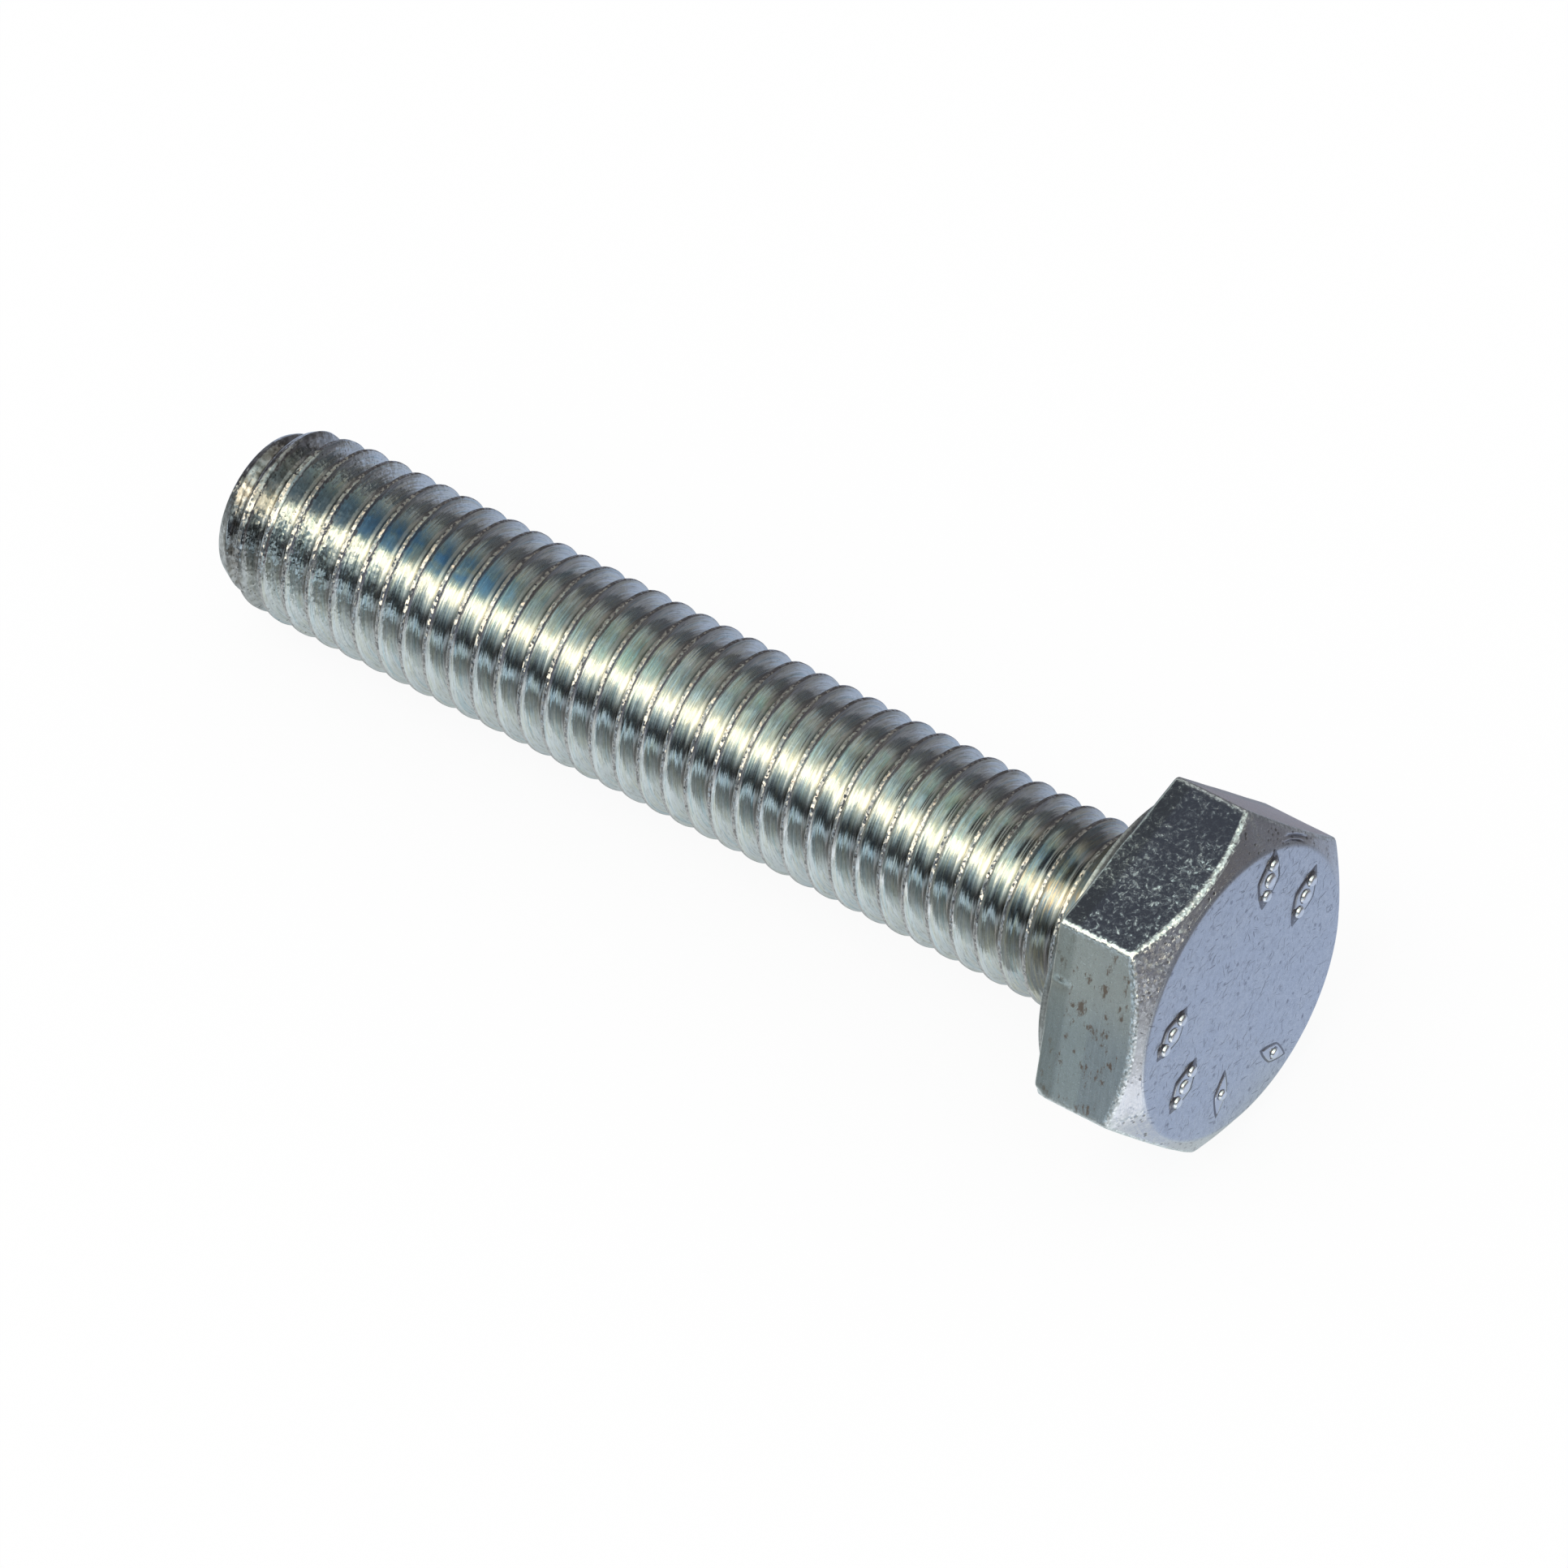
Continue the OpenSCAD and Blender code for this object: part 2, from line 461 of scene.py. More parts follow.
def dented(radius, z, turned, masks):
    """Two grooves, a nick, a trimmed corner and the slight unevenness of a pressed head."""
    degrees = np.degrees(turned)
    outer = np.clip(masks["bevel"] + masks["edge"] + masks["flat"], 0, 1)
    wave = np.sin(5 * turned + 900 * z) * np.sin(11 * turned + 1.3) + np.sin(23 * turned + 2100 * z)
    radius = radius - (0.010 + 0.003 * wave) * MM * outer
    # The groove mask also places the painted shade in the grooves
    masks["dent"] = np.zeros_like(z)
    for direction, level in GROOVES:
        along = (degrees - direction) / 7.0
        across = (z - level * MM) / (0.055 * MM)
        groove = np.exp(-along ** 4 - across ** 2) * masks["bevel"]
        masks["dent"] = np.maximum(masks["dent"], groove)
        z = z + 0.15 * MM * groove
    nick = np.exp(-((degrees - 131) / 1.4) ** 2 - ((z + 0.9 * MM) / (0.5 * MM)) ** 2)
    radius = radius + 0.07 * MM * nick * masks["flat"]
    corner = np.exp(-((degrees - 90) / 1.6) ** 2) * smooth_step(z, -1.1 * MM, -0.45 * MM)
    return radius - 0.24 * MM * corner * masks["flat"], z


# Marks on the head

# Middle x and y, length, width and direction in degrees of each raised lozenge, in millimetres
LOZENGES = (
    (-4.99, -3.74, 2.8, 1.6, 36), (-1.28, -5.62, 2.8, 1.6, 55),
    (-2.90, 5.02, 2.6, 1.5, 70), (1.15, 5.33, 2.6, 1.5, 62),
    (4.57, 3.22, 2.3, 0.95, 33), (6.05, -0.75, 2.2, 0.95, -35),
)

# Place along each wide lozenge and diameter of its pips, and the single pip of a narrow one
PIPS = ((-0.84, 0.68), (0.0, 0.84), (0.84, 0.68))
LONE_PIP = ((0.0, 0.60),)

# Spread of the outline and share of the mark height at each level, of a low lozenge and of a pip
LOZENGE_LEVELS = ((1.22, -0.05), (1.18, 0.03), (1.0, 0.05), (0.94, 0.35), (0.86, 0.50), (0.6, 0.55),
                  (0.15, 0.56))
PIP_LEVELS = ((1.5, 0.05), (1.3, 0.50), (1.0, 0.55), (0.94, 0.85), (0.87, 1.15), (0.78, 1.42),
              (0.62, 1.60), (0.36, 1.68), (0.1, 1.70))


def add_dome(vertices, faces, middle, outline, levels, sizes):
    """Adds one raised form: its outline drawn in and lifted level by level, then capped."""
    base, ring = len(vertices), len(outline)
    for spread, rise in levels:
        for u, v in outline:
            x, y = middle[0] + u * spread, middle[1] + v * spread
            wobble = 0.02 * noise.noise(Vector((x * 3, y * 3, rise * 2)))
            vertices.append(((x + wobble) * MM, (y + wobble) * MM,
                             -sizes.head_height - rise * sizes.mark_height))
    for level in range(len(levels) - 1):
        for i in range(ring):
            a, b = base + level * ring + i, base + level * ring + (i + 1) % ring
            faces.append([a, a + ring, b + ring, b])
    top = base + (len(levels) - 1) * ring
    faces.append([top + i for i in reversed(range(ring))])


def marks_mesh(sizes):
    """Low raised lozenges with pips, standing on the top face."""
    vertices, faces, pip_mask = [], [], []
    around = np.linspace(0, 2 * math.pi, 32, endpoint=False)

    def pointed(value):
        return math.copysign(abs(value) ** 1.6, value)

    for x, y, length, width, direction in LOZENGES:
        c, s = math.cos(math.radians(direction)), math.sin(math.radians(direction))
        outline = []
        for a in around:
            u, v = length / 2 * pointed(math.cos(a)), width / 2 * pointed(math.sin(a))
            outline.append((u * c - v * s, u * s + v * c))
        add_dome(vertices, faces, (x, y), outline, LOZENGE_LEVELS, sizes)
        pip_mask += [0.0] * (len(vertices) - len(pip_mask))
        for along, size in PIPS if width > 1 else LONE_PIP:
            outline = [(size / 2 * math.cos(a), size / 2 * math.sin(a)) for a in around]
            add_dome(vertices, faces, (x + along * c, y + along * s), outline, PIP_LEVELS, sizes)
        pip_mask += [1.0] * (len(vertices) - len(pip_mask))
    return new_mesh("head_marks", vertices, faces, {"pip": pip_mask})


# Node tools

class Tree:
    """Short names for making and linking shader nodes."""

    def __init__(self, tree):
        self.tree = tree
        tree.nodes.clear()

    def add(self, kind, inputs=None, **settings):
        node = self.tree.nodes.new(kind)
        for key, value in settings.items():
            setattr(node, key, value)
        for key, value in (inputs or {}).items():
            self.put(node.inputs[key], value)
        return node

    def put(self, socket, value):
        if isinstance(value, bpy.types.NodeSocket):
            self.tree.links.new(value, socket)
        elif socket.type == "RGBA" and len(value) == 3:
            socket.default_value = (*value, 1)
        else:
            socket.default_value = value

    def math(self, operation, first, second=0.0, clamp=False):
        node = self.add("ShaderNodeMath", {0: first, 1: second}, operation=operation, use_clamp=clamp)
        return node.outputs[0]

    def times(self, first, *others):
        """Product of the values."""
        for other in others:
            first = self.math("MULTIPLY", first, other)
        return first

    def plus(self, first, *others):
        """Sum of the values."""
        for other in others:
            first = self.math("ADD", first, other)
        return first

    def minus(self, first, second):
        return self.math("SUBTRACT", first, second)

    def most(self, first, second):
        return self.math("MAXIMUM", first, second)

    def step(self, value, low, high, to_low=0.0, to_high=1.0):
        """Smooth step from one value to another."""
        node = self.add("ShaderNodeMapRange", {0: value, 1: low, 2: high, 3: to_low, 4: to_high},
                        interpolation_type="SMOOTHSTEP")
        return node.outputs[0]

    def fall(self, value, low, high, top=1.0):
        """Smooth step down to zero."""
        return self.step(value, low, high, top, 0.0)

    def window(self, value, rise, top, fall, end):
        """Rises to one, stays there and falls to zero again."""
        return self.times(self.step(value, rise, top), self.fall(value, fall, end))

    def mix(self, factor, first, second, blend="MIX"):
        node = self.add("ShaderNodeMix", {0: factor, 6: first, 7: second}, data_type="RGBA",
                        blend_type=blend)
        return node.outputs[2]

    def coats(self, colour, *layers):
        """Lays colours over one another: each layer is how much of it shows, and its colour."""
        for share, layer in layers:
            colour = self.mix(share, colour, layer)
        return colour

    def mask(self, name):
        return self.add("ShaderNodeAttribute", attribute_name=name).outputs["Fac"]

    def noise(self, vector, scale, detail=2.0, rough=0.5, distortion=0.0):
        node = self.add("ShaderNodeTexNoise", {
            "Vector": vector, "Scale": scale, "Detail": detail, "Roughness": rough,
            "Distortion": distortion})
        return node.outputs[0]

    def stretched_noise(self, vector, scale, detail=2.0, rough=0.5, distortion=0.0):
        """Noise that has a scale of its own in each direction."""
        return self.noise(self.vector("MULTIPLY", vector, scale), 1.0, detail, rough, distortion)

    def dots(self, place, scale, inner, outer):
        """Round dots, one in each cell, full inside one distance and gone at the other."""
        cells = self.add("ShaderNodeTexVoronoi", {"Vector": place, "Scale": scale})
        return self.fall(cells.outputs["Distance"], inner, outer)

    def vector(self, operation, first, second=(0, 0, 0), output=0):
        node = self.add("ShaderNodeVectorMath", {0: first, 1: second}, operation=operation)
        return node.outputs[output]

    def scaled(self, vector, amount):
        node = self.add("ShaderNodeVectorMath", {0: vector, "Scale": amount}, operation="SCALE")
        return node.outputs[0]

    def parts(self, vector):
        return self.add("ShaderNodeSeparateXYZ", {0: vector}).outputs

    def whole(self, x, y, z=0.0):
        return self.add("ShaderNodeCombineXYZ", {0: x, 1: y, 2: z}).outputs[0]

    def ramp(self, factor, stops):
        """Colour between stops, each a place and a colour."""
        node = self.add("ShaderNodeValToRGB", {0: factor})
        band = node.color_ramp
        band.elements.remove(band.elements[-1])
        band.elements[0].position = stops[0][0]
        band.elements[0].color = (*stops[0][1], 1)
        for place, colour in stops[1:]:
            band.elements.new(place).color = (*colour, 1)
        return node.outputs[0]

    def scratches(self, place, degrees, seed):
        """Sparse short scratches in one direction over the top face."""
        c, s = math.cos(math.radians(degrees)), math.sin(math.radians(degrees))
        along = self.vector("DOT_PRODUCT", place, (c, s, 0), "Value")
        across = self.vector("DOT_PRODUCT", place, (-s, c, 0), "Value")
        bent = self.plus(self.times(across, 9.0), self.times(self.noise(place, 0.35, 1.0), 14.0))
        field = self.whole(self.times(along, 1.1), bent, seed)
        return self.step(self.noise(field, 1.0, 1.0), 0.675, 0.72)

    def turn(self, vector, back=False):
        """Turns a vector from the screw's frame to the shared frame, or back."""
        inputs = {"Vector": vector, "Rotation": screw_matrix().to_euler()}
        node = self.add("ShaderNodeVectorRotate", inputs, rotation_type="EULER_XYZ", invert=back)
        return node.outputs[0]

    def place_mm(self):
        """Place in the screw's own frame in millimetres: x down, y sideways, z along the axis."""
        coordinates = self.add("ShaderNodeTexCoord").outputs["Object"]
        return self.vector("MULTIPLY", self.turn(coordinates, back=True), (1000, 1000, 1000))

    def round_place(self, place):
        """Turns round the axis from straight up towards -Y, distance from it and height along it."""
        x, y, z = self.parts(place)
        from_top = self.math("ARCTAN2", self.times(y, -1.0), self.times(x, -1.0))
        radius = self.vector("LENGTH", self.whole(x, y), output="Value")
        return self.math("DIVIDE", from_top, 2 * math.pi), radius, z

    def round_lean(self, place, amount):
        """A vector round the axis, as long as the amount, in the shared frame."""
        x, y, _ = self.parts(place)
        tangent = self.vector("NORMALIZE", self.whole(self.times(y, -1.0), x))
        return self.scaled(self.turn(tangent), amount)

    def sparkle(self, place, scale, tilt, sway=None):
        """A normal that leans a different way on each little crystal, and by sway as well."""
        cells = self.add("ShaderNodeTexVoronoi", {"Vector": place, "Scale": scale})
        lean = self.vector("SUBTRACT", cells.outputs["Color"], (0.5, 0.5, 0.5))
        normal = self.add("ShaderNodeNewGeometry").outputs["Normal"]
        total = self.vector("ADD", normal, self.scaled(lean, tilt))
        if sway is not None:
            total = self.vector("ADD", total, sway)
        return self.vector("NORMALIZE", total)

    def metal(self, colour, roughness, height, strength, depth_mm, normal=None):
        """Ends the material: bare metal with a bump of the given height."""
        bump = self.add("ShaderNodeBump", {
            "Strength": strength, "Distance": depth_mm * MM, "Height": height})
        if normal is not None:
            self.put(bump.inputs["Normal"], normal)
        held = self.math("ADD", roughness, 0.0, clamp=True)
        shader = self.add("ShaderNodeBsdfPrincipled", {
            "Base Color": colour, "Roughness": held, "Normal": bump.outputs[0], "Metallic": 1.0})
        self.surface(shader)

    def surface(self, shader):
        self.add("ShaderNodeOutputMaterial", {"Surface": shader.outputs[0]})


def new_material(name):
    material = bpy.data.materials.new(name)
    material.use_nodes = True
    return material, Tree(material.node_tree)


# Plating

def thread_plating(finish, sizes):
    """Rolled thread: smooth flanks with tinted film, rubbed crests, and dark roots whose darkness is painted
    shade.
    """
    material, t = new_material("rolled_thread_plating")
    place = t.place_mm()
    angle, radius, z = t.round_place(place)
    x, y, _ = t.parts(place)
    # Angle round the axis from straight up towards +Y
    over = t.math("ARCTAN2", y, t.times(x, -1.0))
    crest, root, plain = map(t.mask, ("crest", "root", "plain"))

    # Coordinates that run along the thread, so that streaks follow the rolling
    up_thread = t.minus(z, t.times(angle, sizes.pitch / MM))
    rolled = t.whole(t.times(angle, 15.5), t.times(radius, 9.0), t.times(up_thread, 1.2))
    streaks = t.noise(rolled, 1.0, 4.0, 0.6, 0.4)
    fine = t.noise(place, 6.0, 4.0, 0.65)

    colour = flank_colour(t, finish, place, rolled, over, z, streaks, fine)
    colour = crest_and_root_colour(t, finish, colour, place, over, crest, root)
    colour = tip_colour(t, colour, place, z, plain, sizes.length / MM)

    near_neck = t.fall(z, 1.0, 4.5, 0.08)
    rough = t.plus(finish.roughness - 0.16, t.times(streaks, 0.10), t.times(crest, 0.12), near_neck,
                   t.times(root, 0.10))
    lean = t.plus(0.012, t.times(crest, 0.50), t.step(z, 40.0, 51.0, 0.0, 0.14))
    wander = t.minus(t.stretched_noise(rolled, (0.35, 1.6, 1.6), 3.0, 0.6), 0.5)
    normal = t.sparkle(place, 7.0, lean, t.round_lean(place, t.times(wander, 0.34)))
    height = t.plus(t.times(streaks, 0.5), t.times(fine, 0.35))
    t.metal(colour, rough, height, 0.22, 0.04, normal)
    return material


def flank_colour(t, finish, place, rolled, over, z, streaks, fine):
    """Film, tints and grime on the flanks. The upper side shows them most, beside the light's streak.
    Painted shade darkens the flanks next to the head, the upper side towards the tip and the upper edge of
    the light's streak near the tip, and a coloured sheen is painted into the light's streak next to the
    head.
    """
    above = t.window(over, -0.55, -0.10, 0.18, 0.36)
    rim = t.window(over, -0.30, -0.02, 0.19, 0.31)
    beside_light = t.window(over, -0.10, 0.10, 0.22, 0.36)
    in_light = t.window(over, 0.15, 0.35, 0.55, 0.75)

    patch = t.step(t.stretched_noise(place, (0.9, 0.9, 0.5)), 0.40, 0.54)
    film = t.plus(t.window(z, 37.0, 41.0, 46.0, 50.0), t.fall(z, 1.5, 5.0, 0.6), 0.22)
    blue_ring = t.most(t.window(z, 36.0, 40.0, 45.0, 50.0), t.fall(z, 3.0, 7.0, 0.7))
    green = t.step(t.stretched_noise(place, (0.5, 0.5, 0.22)), 0.52, 0.60)
    mottle = t.step(t.stretched_noise(rolled, (1.6, 1.3, 1.3), 3.0, 0.6, 0.3), 0.44, 0.60)
    stain = t.step(t.stretched_noise(rolled, (0.5, 1.0, 0.6), 3.0, 0.6), 0.52, 0.66, 0.0, 0.65)
    grime = t.step(t.stretched_noise(rolled, (2.6, 2.0, 2.6), 4.0, 0.7), 0.50, 0.66, 0.0, 0.5)
    # Painted shade next to the head, mottled grey and brown
    shade_near_head = t.mix(t.step(streaks, 0.4, 0.6), (0.30, 0.31, 0.34), (0.60, 0.52, 0.38))
    # Colour fringe of the film next to the head: partly the film's own colour, partly a coloured sheen
    # painted into the light's streak
    film_fringe_and_sheen = t.mix(t.step(streaks, 0.46, 0.56), (0.30, 0.50, 0.72), (0.95, 0.66, 0.40))
    return t.coats(
        tuple(finish.thread),
        (t.times(film, rim, patch), finish.blue),
        (t.times(above, green, 0.8), (0.60, 0.76, 0.74)),
        # Painted shade: the upper side turns darker from the middle of the shank towards the tip
        (t.times(above, t.step(z, 28.0, 42.0, 0.0, 0.75)), (0.34, 0.40, 0.44)),
        # Painted shade on the flanks next to the head
        (t.fall(z, 2.0, 7.5, 0.65), shade_near_head),
        # Brown mottle all over, laid on much thicker on the upper side as painted shade
        (t.times(mottle, t.plus(0.10, t.times(above, 0.45))), (0.36, 0.33, 0.27)),
        (t.step(streaks, 0.42, 0.70, 0.0, 0.65), (0.68, 0.66, 0.53)),
        (stain, (0.50, 0.62, 0.66)),
        (t.step(fine, 0.58, 0.70, 0.0, 0.6), (0.86, 0.88, 0.86)),
        (grime, (0.30, 0.29, 0.27)),
        # Painted shade just above the light's streak, growing towards the tip
        (t.times(rim, t.step(z, 36.0, 47.0, 0.0, 0.62)), (0.22, 0.25, 0.29)),
        (t.times(blue_ring, rim, patch, 0.5), (0.15, 0.33, 0.55)),
        # Painted shade at the upper edge of the light's streak near the tip, which narrows the streak there
        (t.times(beside_light, t.step(z, 45.0, 50.0, 0.0, 0.5)), (0.25, 0.28, 0.32)),
        # Painted sheen: the fringe goes only where the light's streak falls, next to the head
        (t.times(in_light, t.fall(z, 1.0, 5.5, 0.6)), film_fringe_and_sheen),
    )


def crest_and_root_colour(t, finish, colour, place, over, crest, root):
    """Rubbed crests with brown specks, and roots with brown painted shade. Crests and roots turned away from
    the light are painted darker, and roots in the light's streak are painted paler.
    """
    # Painted shade: how far round the thread is turned away from the light
    turned_away = t.fall(over, 0.10, 0.30)
    unlit = t.most(turned_away, t.step(over, 0.65, 0.85))
    specks = t.times(t.dots(place, 5.5, 0.16, 0.26), t.step(t.noise(place, 1.7, 3.0), 0.50, 0.62))
    return t.coats(
        colour,
        # Crests turned away from the light get painted shade
        (crest, t.mix(turned_away, finish.crest, (0.30, 0.27, 0.25))),
        (t.times(specks, crest, 0.85), finish.rust),
        # Painted shade in the roots, darkest away from the light and paler in the light's streak
        (t.times(root, 0.75), t.mix(unlit, (0.56, 0.54, 0.48), (0.15, 0.12, 0.10))),
    )


def tip_colour(t, colour, place, z, plain, length_mm):
    """Brown and grey blotches on the tip's bevel and end face, and dark flecks near them."""
    blotches = t.mix(t.step(t.noise(place, 2.2, 4.0), 0.35, 0.65), (0.13, 0.11, 0.09), (0.48, 0.46, 0.45))
    on_end = t.step(z, length_mm - 0.12, length_mm - 0.02)
    blotches = t.mix(t.times(on_end, 0.65), blotches, (0.46, 0.45, 0.45))
    near_end = t.most(t.times(plain, t.step(z, 20.0, 30.0)), t.step(z, 50.5, 54.0))
    flecks = t.times(t.dots(place, 3.4, 0.10, 0.20), t.step(z, 47.0, 51.0))
    return t.coats(
        colour,
        (t.times(near_end, 0.8), blotches),
        (t.times(flecks, 0.8), (0.10, 0.09, 0.08)),
    )


def head_plating(finish):
    """Pressed head: lavender top, brushed and frosted flats, speckled bevels, rubbed edges, painted shade in
    the bevel's grooves and on the underside, and painted light on the flats' upper side.
    """
    material, t = new_material("pressed_head_plating")
    place = t.place_mm()
    angle, radius, z = t.round_place(place)
    names = ("top", "bevel", "edge", "flat", "under", "frosted")
    top, bevel, edge, flat, under, frosted = map(t.mask, names)

    wide = t.noise(place, 0.5, 3.0)
    grain = t.noise(place, 5.0, 4.0, 0.6, 0.8)
    fine = t.noise(place, 13.0, 3.0, 0.6)
    brushed = t.stretched_noise(place, (0.6, 0.6, 8.0), 4.0, 0.65)
    scratch = t.most(t.scratches(place, 25.0, 3.0), t.scratches(place, 118.0, 8.0))
    scratch = t.times(top, t.most(scratch, t.scratches(place, 70.0, 15.0)))
    pits = t.times(t.dots(place, 3.2, 0.20, 0.38), t.step(t.noise(place, 1.5, 2.0), 0.46, 0.58))
    worms = bloom_worms(t, place, wide)

    lines = line_colour(t, finish, place, angle, z, brushed)
    bloom_colour = t.mix(worms, (0.52, 0.55, 0.60), finish.frost)
    on_flats = t.coats(lines, (frosted, bloom_colour), (t.times(t.mask("foot"), 0.45), (0.36, 0.38, 0.33)))
    on_bevels = t.coats(
        t.mix(t.step(wide, 0.4, 0.65), finish.bevel, (0.74, 0.74, 0.76)),
        (t.times(pits, 0.7), (0.16, 0.14, 0.12)),
        # Painted shade in the pressed grooves
        (t.times(t.mask("dent"), 0.75), (0.15, 0.14, 0.16)),
    )
    colour = t.coats(
        top_colour(t, finish, place, wide, grain, scratch),
        (bevel, on_bevels),
        (flat, on_flats),
        # Painted shade: the underside, washer face and fillet are painted a darker grey than the rest of the
        # head
        (under, t.mix(t.step(grain, 0.4, 0.6), (0.36, 0.36, 0.34), (0.52, 0.52, 0.50))),
        (edge, t.mix(edge_beads(t, place), finish.edges, (0.46, 0.48, 0.46))),
    )

    bloom = t.times(frosted, flat, t.minus(1.0, edge))
    rough = t.plus(finish.roughness, t.times(fine, 0.14), t.times(bloom, -0.19), t.times(worms, bloom, 0.22))
    near_corner = t.window(angle, -0.15, -0.10, -0.05, -0.03)
    bevel_lean = t.times(bevel, t.plus(0.12, t.times(near_corner, 0.22)))
    lean = t.plus(0.02, t.times(edge, 0.42), t.times(worms, bloom, 0.30), bevel_lean)
    drawn = t.times(brushed, flat, t.minus(1.0, frosted), 0.7)
    soft_grain = t.times(grain, t.minus(0.35, t.times(bloom, 0.20)))
    arcs = t.noise(t.whole(t.times(radius, 9.0), t.times(angle, 14.0)), 1.0, 3.0, 0.6)
    height = t.plus(drawn, soft_grain, t.times(arcs, bevel, 0.9), t.times(fine, 0.10),
                    t.times(scratch, -0.5), t.times(pits, bevel, -1.0))
    t.metal(colour, rough, height, 0.35, 0.06, t.sparkle(place, 7.5, lean))
    return material


def bloom_worms(t, place, wide):
    """Worm-like grains of bloom, thicker towards the middle of the flat that faces up."""
    _, sideways, _ = t.parts(place)
    thick = t.fall(t.math("ABSOLUTE", sideways), 0.8, 3.6, 0.07)
    thick = t.plus(t.times(t.step(wide, 0.35, 0.65), 0.06), thick)
    return t.step(t.plus(t.noise(place, 3.4, 5.0, 0.70, 0.7), thick), 0.47, 0.80)


def top_colour(t, finish, place, wide, grain, scratch):
    """Lavender top with grain, dimples, scratches and dark spots."""
    dimples = t.step(t.noise(place, 2.6, 4.0, 0.7, 0.3), 0.50, 0.66)
    spots = t.times(t.dots(place, 1.9, 0.14, 0.30), t.step(t.noise(place, 1.3, 2.0), 0.50, 0.58))
    return t.coats(
        t.mix(t.step(wide, 0.3, 0.7), finish.top, (0.68, 0.70, 0.74)),
        (t.step(grain, 0.42, 0.62, 0.0, 0.75), (0.60, 0.62, 0.66)),
        (t.times(dimples, 0.55), (0.52, 0.53, 0.56)),
        (t.times(scratch, 0.7), (0.26, 0.26, 0.29)),
        (t.times(spots, 0.6), (0.26, 0.26, 0.30)),
    )


def line_colour(t, finish, place, angle, z, brushed):
    """Flats with drawing lines along the axis, a paler band, painted light on their upper side, brown specks
    and one rosy flat.
    """
    brown = t.stretched_noise(place, (0.9, 0.9, 2.0), 5.0, 0.74, 0.2)
    return t.coats(
        t.mix(t.step(brushed, 0.35, 0.65), finish.flats, (0.48, 0.51, 0.52)),
        (t.times(t.window(z, -3.15, -2.85, -1.6, -1.45), 0.5), (0.66, 0.70, 0.66)),
        # Painted light: from about 135 degrees round past the top the flats are lighter, so the flat at 120
        # degrees is lighter towards its upper end
        (t.times(t.step(angle, -0.19, -0.12), 0.7), (0.78, 0.76, 0.68)),
        (t.step(brown, 0.555, 0.64, 0.0, 0.8), (0.26, 0.155, 0.10)),
        (t.times(t.mask("rosy"), 0.9), (0.60, 0.475, 0.45)),
    )


def edge_beads(t, place):
    """How dark each bead of a rubbed edge is."""
    cells = t.add("ShaderNodeTexVoronoi", {"Vector": place, "Scale": 6.5})
    return t.step(cells.outputs["Distance"], 0.38, 0.62, 0.0, 0.6)


def marks_plating(finish):
    """Raised marks: the same lavender plating, with painted shade at their feet and a painted highlight on
    top of the pips.
    """
    material, t = new_material("raised_mark_plating")
    place = t.place_mm()
    _, _, z = t.parts(place)
    pip = t.mask("pip")
    grain = t.noise(place, 6.0, 4.0, 0.6, 0.6)
    rubbed = t.times(t.fall(z, -6.26, -6.13), t.step(grain, 0.35, 0.6))
    # Painted shade round the feet of the lozenges and pips
    foot = t.most(t.step(z, -6.150, -6.112), t.times(pip, t.step(z, -6.235, -6.205)))
    colour = t.coats(
        tuple(finish.top),
        (rubbed, (0.80, 0.80, 0.82)),
        (t.times(foot, 0.8), (0.14, 0.13, 0.14)),
        # Painted highlight: the upper part of each pip is near white
        (t.times(pip, t.fall(z, -6.27, -6.22)), (0.97, 0.96, 0.94)),
    )
    rough = t.plus(finish.roughness - 0.08, t.times(grain, 0.16), t.times(pip, -0.04))
    t.metal(colour, rough, grain, 0.3, 0.05)
    return material


# Studio

# Light tent: its peak, and its colours by degrees from straight up towards +Y
TENT_PEAK = 1.5
TENT = (
    (-180, (0.26, 0.28, 0.33)), (-93, (0.16, 0.17, 0.20)), (-84, (0.15, 0.16, 0.18)),
    (-70, (0.18, 0.185, 0.20)), (-59, (0.50, 0.52, 0.53)), (-43, (0.72, 0.77, 0.73)),
    (-29, (0.58, 0.68, 0.66)), (-17, (0.82, 1.00, 0.98)), (-6, (1.20, 1.38, 1.30)),
    (3, (1.40, 1.45, 1.25)), (12, (1.50, 1.50, 1.28)), (33, (1.45, 1.48, 1.34)),
    (40, (0.82, 0.96, 0.98)), (48, (0.38, 0.48, 0.53)), (57, (0.14, 0.17, 0.20)),
    (64, (0.035, 0.04, 0.05)), (72, (0.025, 0.03, 0.035)), (77, (0.20, 0.25, 0.28)),
    (81, (0.98, 1.20, 1.40)), (86, (0.86, 1.08, 1.22)), (91, (0.34, 0.41, 0.46)),
    (180, (0.34, 0.41, 0.46)),
)

# Bright strip: degrees from straight up, and how many turns from there it starts to fade and ends
STRIP_AT = 22
STRIP_EDGE = (0.018, 0.034)

# Floor as the metal sees it, with a painted pool of light round the screw: distance from the screw in
# millimetres, brightness
POOL_REACH = 200
FLOOR_POOL = ((0, 0.52), (5, 0.62), (9, 0.86), (14, 0.80), (19, 0.48), (30, 0.40), (50, 0.29),
              (POOL_REACH, 0.20))

# Where the camera aims and how far off it stands, in millimetres
CAMERA_AIM = (20.7056, 1.6127, 0.0)
CAMERA_DISTANCE = 1030.385

# Dark card: a point on the head, the way from there to the card, and in millimetres how far that is
# and half the card's two sides
CARD_FOOT = (-2.5, 0.0, 8.5)
CARD_TOWARD = (0.51, -0.38, 0.77)
CARD_DISTANCE = 22
CARD_HALF_SIZE = (6.1, 8.5)


